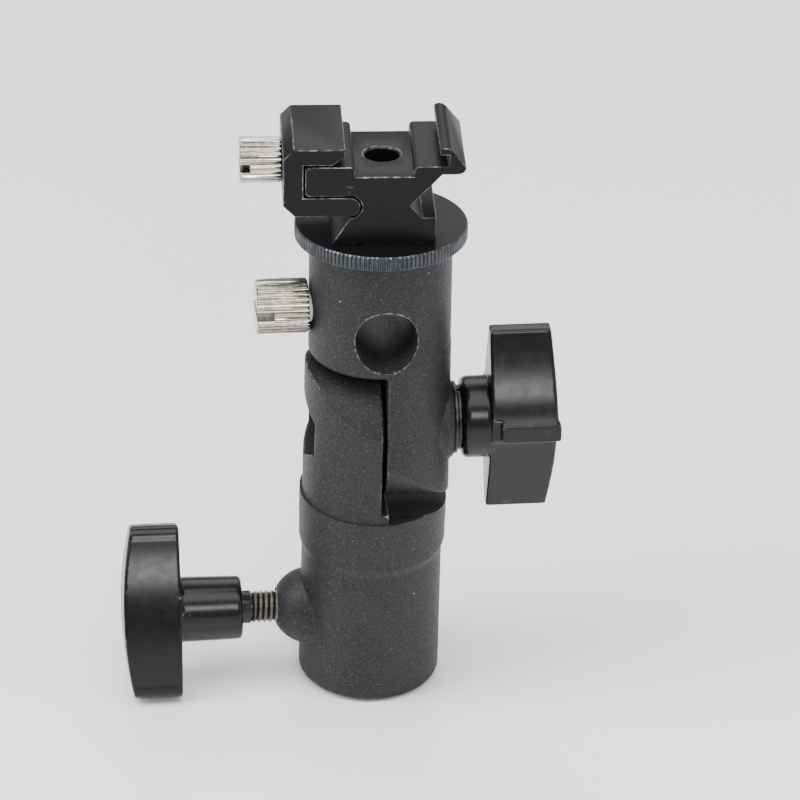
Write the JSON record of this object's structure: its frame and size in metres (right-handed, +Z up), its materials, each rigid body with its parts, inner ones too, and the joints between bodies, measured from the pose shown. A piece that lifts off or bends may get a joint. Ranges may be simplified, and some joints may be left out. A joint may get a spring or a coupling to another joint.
{
  "type": "umbrella swivel bracket",
  "caption": "Tilting light-stand bracket: clamp socket for a spigot, pivoting head with an umbrella hole and thumbscrew, and a screw-clamped accessory shoe on top.",
  "frame": {"origin": "centre of the stand socket's mouth, on the socket's axis", "axes": "+Z up the socket to the pivot, +X along the pivot bolt towards the wing knob, -Y the front"},
  "size_m": [0.0778, 0.0326, 0.113],
  "materials": {
    "powder_coated_casting": "black textured powder coat on die-cast aluminium",
    "black_anodised": "satin black anodised, machined",
    "black_plastic": "semi-gloss moulded black plastic",
    "black_steel": "black oxide steel",
    "zinc_steel": "bright zinc plated",
    "nickel_brass": "nickel-plated brass, knurled",
    "brass": "turned brass",
    "nylon": "natural nylon",
    "fibre": "pressed fibre friction material"
  },
  "bodies": {
    "socket": {"socket_body": "powder_coated_casting", "pivot_bolt": "black_steel", "friction_disc": "fibre"},
    "head": {"head_body": "powder_coated_casting", "shoe_stud": "black_steel"},
    "washers": {"pivot_washer": "black_steel", "spring_washer": "black_steel"},
    "wing_knob": {"wing_knob": "black_plastic", "wing_knob_insert": "zinc_steel"},
    "clamp_pad": {"clamp_pad": "brass"},
    "clamp_knob": {"clamp_screw": "black_steel", "clamp_knob": "black_plastic"},
    "lock_disc": {"lock_disc": "black_anodised"},
    "shoe": {"shoe_base": "black_anodised"},
    "jaw": {"shoe_jaw": "black_anodised"},
    "jaw_screw": {"jaw_screw": "nickel_brass"},
    "umbrella_pad": {"umbrella_screw_pad": "nylon"},
    "umbrella_screw": {"umbrella_screw": "nickel_brass"}
  },
  "joints": [
    {"name": "head_tilt", "type": "hinge", "parent": "socket", "child": "head", "pos_m": [0, 0, 0.0528], "axis": [1, 0, 0], "range_deg": [-78.5, 91.5]},
    {"name": "washer_travel", "type": "slide", "parent": "socket", "child": "washers", "axis": [1, 0, 0], "range_m": [0, 0.002]},
    {"name": "wing_knob_turn", "type": "hinge", "parent": "washers", "child": "wing_knob", "pos_m": [0, 0, 0.0528], "axis": [1, 0, 0], "range_deg": [0, 720]},
    {"name": "clamp_pad_travel", "type": "slide", "parent": "socket", "child": "clamp_pad", "axis": [1, 0, 0], "range_m": [-0.003, 0.004]},
    {"name": "clamp_knob_turn", "type": "hinge", "parent": "clamp_pad", "child": "clamp_knob", "pos_m": [0, 0, 0.0129], "axis": [1, 0, 0], "range_deg": [-1080, 1440]},
    {"name": "lock_disc_turn", "type": "hinge", "parent": "head", "child": "lock_disc", "pos_m": [0.00065, 0.0043, 0.09056], "axis": [0, 0.1132, 0.9936], "continuous": true},
    {"name": "shoe_swivel", "type": "hinge", "parent": "head", "child": "shoe", "pos_m": [0.00065, 0.00509, 0.09751], "axis": [0, 0.1132, 0.9936], "continuous": true},
    {"name": "jaw_travel", "type": "slide", "parent": "shoe", "child": "jaw", "axis": [0.9984, -0.0555, 0.0063], "range_m": [-0.0028, 0]},
    {"name": "jaw_screw_turn", "type": "hinge", "parent": "jaw", "child": "jaw_screw", "pos_m": [0.00065, 0.00579, 0.10362], "axis": [0.9984, -0.0555, 0.0063], "range_deg": [-1440, 0]},
    {"name": "umbrella_pad_travel", "type": "slide", "parent": "head", "child": "umbrella_pad", "axis": [1, 0, 0], "range_m": [-0.004, 0]},
    {"name": "umbrella_screw_turn", "type": "hinge", "parent": "umbrella_pad", "child": "umbrella_screw", "pos_m": [0.00065, 0.00264, 0.07595], "axis": [1, 0, 0], "range_deg": [-1440, 0]}
  ],
  "couplings": [
    {"joint": "wing_knob_turn", "follows": "washer_travel", "rad_per_m": 6283.2},
    {"joint": "clamp_knob_turn", "follows": "clamp_pad_travel", "rad_per_m": 6283.2},
    {"joint": "jaw_screw_turn", "follows": "jaw_travel", "rad_per_m": 8976},
    {"joint": "umbrella_screw_turn", "follows": "umbrella_pad_travel", "rad_per_m": 6283.2}
  ]
}
